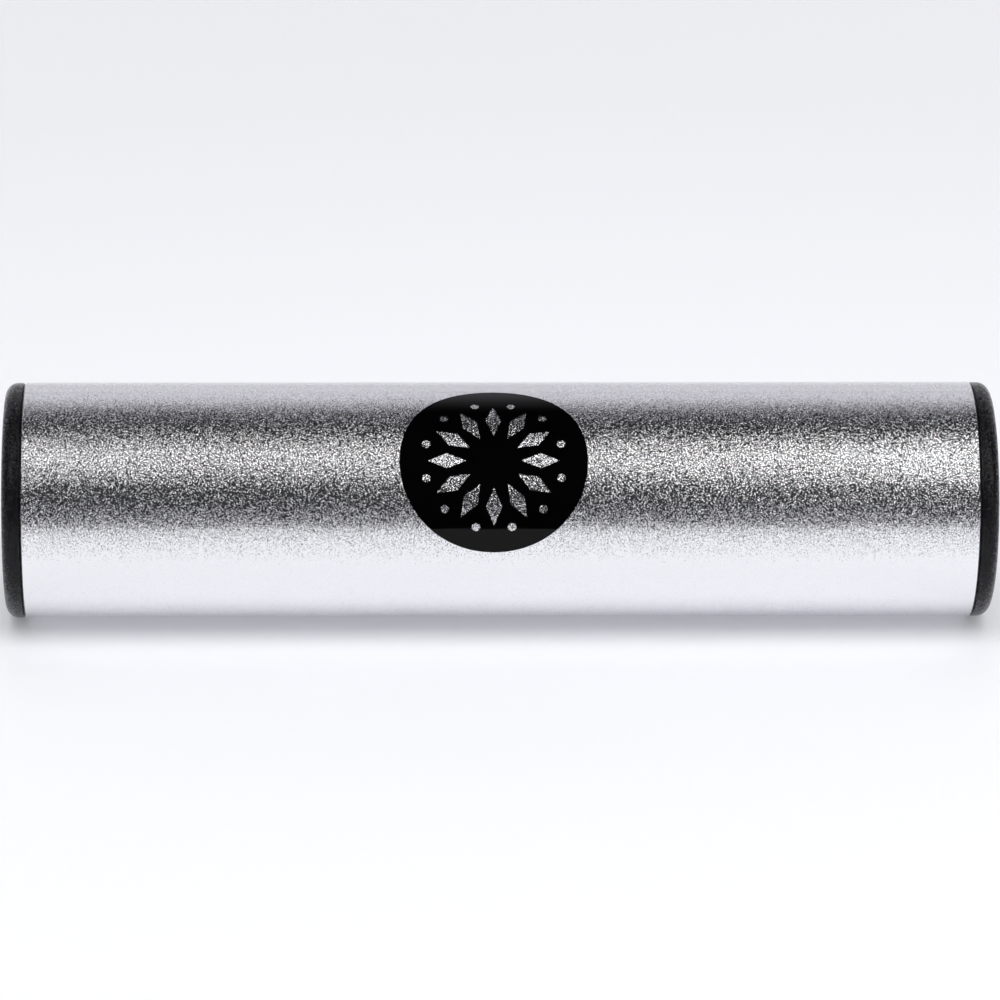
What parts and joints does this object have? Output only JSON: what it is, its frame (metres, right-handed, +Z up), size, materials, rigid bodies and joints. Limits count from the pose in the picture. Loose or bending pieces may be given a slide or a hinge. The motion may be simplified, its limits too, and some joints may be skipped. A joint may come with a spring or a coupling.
{
  "type": "ganza shaker",
  "caption": "Hand shaker: a closed aluminium tube with black end plugs and a round label, holding loose steel shot that rolls round the bore and rattles.",
  "frame": {"origin": "middle of the tube's length, on the lowest line of the tube, where it lies on a table", "axes": "+X along the tube to the right-hand plug seen from the front, -Y to the front where the label is, +Z up"},
  "size_m": [0.209, 0.0501, 0.0501],
  "materials": {
    "tube_aluminium": "fine sparkling blasted aluminium, clear anodised",
    "plug_rubber": "satin black moulded rubber",
    "label_film": "gloss black printed film",
    "shot_steel": "tumbled bright steel"
  },
  "bodies": {
    "shaker": {"tube": "tube_aluminium", "left_end_plug": "plug_rubber", "right_end_plug": "plug_rubber", "label_film": "label_film"},
    "shot_row_01": {"shot_row_01": "shot_steel"},
    "shot_row_02": {"shot_row_02": "shot_steel"},
    "shot_row_03": {"shot_row_03": "shot_steel"},
    "shot_row_04": {"shot_row_04": "shot_steel"},
    "shot_row_05": {"shot_row_05": "shot_steel"},
    "shot_row_06": {"shot_row_06": "shot_steel"},
    "shot_row_07": {"shot_row_07": "shot_steel"},
    "shot_row_08": {"shot_row_08": "shot_steel"},
    "shot_row_09": {"shot_row_09": "shot_steel"},
    "shot_row_10": {"shot_row_10": "shot_steel"},
    "shot_row_11": {"shot_row_11": "shot_steel"},
    "shot_row_12": {"shot_row_12": "shot_steel"},
    "shot_row_13": {"shot_row_13": "shot_steel"},
    "shot_row_14": {"shot_row_14": "shot_steel"},
    "shot_row_15": {"shot_row_15": "shot_steel"},
    "shot_row_16": {"shot_row_16": "shot_steel"},
    "shot_row_17": {"shot_row_17": "shot_steel"},
    "shot_row_18": {"shot_row_18": "shot_steel"},
    "shot_row_19": {"shot_row_19": "shot_steel"},
    "shot_row_20": {"shot_row_20": "shot_steel"},
    "shot_row_21": {"shot_row_21": "shot_steel"},
    "shot_row_22": {"shot_row_22": "shot_steel"},
    "shot_row_23": {"shot_row_23": "shot_steel"},
    "shot_row_24": {"shot_row_24": "shot_steel"},
    "shot_row_25": {"shot_row_25": "shot_steel"},
    "shot_row_26": {"shot_row_26": "shot_steel"},
    "shot_row_27": {"shot_row_27": "shot_steel"},
    "shot_row_28": {"shot_row_28": "shot_steel"},
    "shot_row_29": {"shot_row_29": "shot_steel"},
    "shot_row_30": {"shot_row_30": "shot_steel"}
  },
  "joints": [
    {"name": "shot_row_01_swing", "type": "hinge", "parent": "shaker", "child": "shot_row_01", "pos_m": [0, 0, 0.025], "axis": [1, 0, 0], "continuous": true},
    {"name": "shot_row_02_swing", "type": "hinge", "parent": "shaker", "child": "shot_row_02", "pos_m": [0, 0, 0.025], "axis": [1, 0, 0], "continuous": true},
    {"name": "shot_row_03_swing", "type": "hinge", "parent": "shaker", "child": "shot_row_03", "pos_m": [0, 0, 0.025], "axis": [1, 0, 0], "continuous": true},
    {"name": "shot_row_04_swing", "type": "hinge", "parent": "shaker", "child": "shot_row_04", "pos_m": [0, 0, 0.025], "axis": [1, 0, 0], "continuous": true},
    {"name": "shot_row_05_swing", "type": "hinge", "parent": "shaker", "child": "shot_row_05", "pos_m": [0, 0, 0.025], "axis": [1, 0, 0], "continuous": true},
    {"name": "shot_row_06_swing", "type": "hinge", "parent": "shaker", "child": "shot_row_06", "pos_m": [0, 0, 0.025], "axis": [1, 0, 0], "continuous": true},
    {"name": "shot_row_07_swing", "type": "hinge", "parent": "shaker", "child": "shot_row_07", "pos_m": [0, 0, 0.025], "axis": [1, 0, 0], "continuous": true},
    {"name": "shot_row_08_swing", "type": "hinge", "parent": "shaker", "child": "shot_row_08", "pos_m": [0, 0, 0.025], "axis": [1, 0, 0], "continuous": true},
    {"name": "shot_row_09_swing", "type": "hinge", "parent": "shaker", "child": "shot_row_09", "pos_m": [0, 0, 0.025], "axis": [1, 0, 0], "continuous": true},
    {"name": "shot_row_10_swing", "type": "hinge", "parent": "shaker", "child": "shot_row_10", "pos_m": [0, 0, 0.025], "axis": [1, 0, 0], "continuous": true},
    {"name": "shot_row_11_swing", "type": "hinge", "parent": "shaker", "child": "shot_row_11", "pos_m": [0, 0, 0.025], "axis": [1, 0, 0], "continuous": true},
    {"name": "shot_row_12_swing", "type": "hinge", "parent": "shaker", "child": "shot_row_12", "pos_m": [0, 0, 0.025], "axis": [1, 0, 0], "continuous": true},
    {"name": "shot_row_13_swing", "type": "hinge", "parent": "shaker", "child": "shot_row_13", "pos_m": [0, 0, 0.025], "axis": [1, 0, 0], "continuous": true},
    {"name": "shot_row_14_swing", "type": "hinge", "parent": "shaker", "child": "shot_row_14", "pos_m": [0, 0, 0.025], "axis": [1, 0, 0], "continuous": true},
    {"name": "shot_row_15_swing", "type": "hinge", "parent": "shaker", "child": "shot_row_15", "pos_m": [0, 0, 0.025], "axis": [1, 0, 0], "continuous": true},
    {"name": "shot_row_16_swing", "type": "hinge", "parent": "shaker", "child": "shot_row_16", "pos_m": [0, 0, 0.025], "axis": [1, 0, 0], "continuous": true},
    {"name": "shot_row_17_swing", "type": "hinge", "parent": "shaker", "child": "shot_row_17", "pos_m": [0, 0, 0.025], "axis": [1, 0, 0], "continuous": true},
    {"name": "shot_row_18_swing", "type": "hinge", "parent": "shaker", "child": "shot_row_18", "pos_m": [0, 0, 0.025], "axis": [1, 0, 0], "continuous": true},
    {"name": "shot_row_19_swing", "type": "hinge", "parent": "shaker", "child": "shot_row_19", "pos_m": [0, 0, 0.025], "axis": [1, 0, 0], "continuous": true},
    {"name": "shot_row_20_swing", "type": "hinge", "parent": "shaker", "child": "shot_row_20", "pos_m": [0, 0, 0.025], "axis": [1, 0, 0], "continuous": true},
    {"name": "shot_row_21_swing", "type": "hinge", "parent": "shaker", "child": "shot_row_21", "pos_m": [0, 0, 0.025], "axis": [1, 0, 0], "continuous": true},
    {"name": "shot_row_22_swing", "type": "hinge", "parent": "shaker", "child": "shot_row_22", "pos_m": [0, 0, 0.025], "axis": [1, 0, 0], "continuous": true},
    {"name": "shot_row_23_swing", "type": "hinge", "parent": "shaker", "child": "shot_row_23", "pos_m": [0, 0, 0.025], "axis": [1, 0, 0], "continuous": true},
    {"name": "shot_row_24_swing", "type": "hinge", "parent": "shaker", "child": "shot_row_24", "pos_m": [0, 0, 0.025], "axis": [1, 0, 0], "continuous": true},
    {"name": "shot_row_25_swing", "type": "hinge", "parent": "shaker", "child": "shot_row_25", "pos_m": [0, 0, 0.025], "axis": [1, 0, 0], "continuous": true},
    {"name": "shot_row_26_swing", "type": "hinge", "parent": "shaker", "child": "shot_row_26", "pos_m": [0, 0, 0.025], "axis": [1, 0, 0], "continuous": true},
    {"name": "shot_row_27_swing", "type": "hinge", "parent": "shaker", "child": "shot_row_27", "pos_m": [0, 0, 0.025], "axis": [1, 0, 0], "continuous": true},
    {"name": "shot_row_28_swing", "type": "hinge", "parent": "shaker", "child": "shot_row_28", "pos_m": [0, 0, 0.025], "axis": [1, 0, 0], "continuous": true},
    {"name": "shot_row_29_swing", "type": "hinge", "parent": "shaker", "child": "shot_row_29", "pos_m": [0, 0, 0.025], "axis": [1, 0, 0], "continuous": true},
    {"name": "shot_row_30_swing", "type": "hinge", "parent": "shaker", "child": "shot_row_30", "pos_m": [0, 0, 0.025], "axis": [1, 0, 0], "continuous": true}
  ]
}
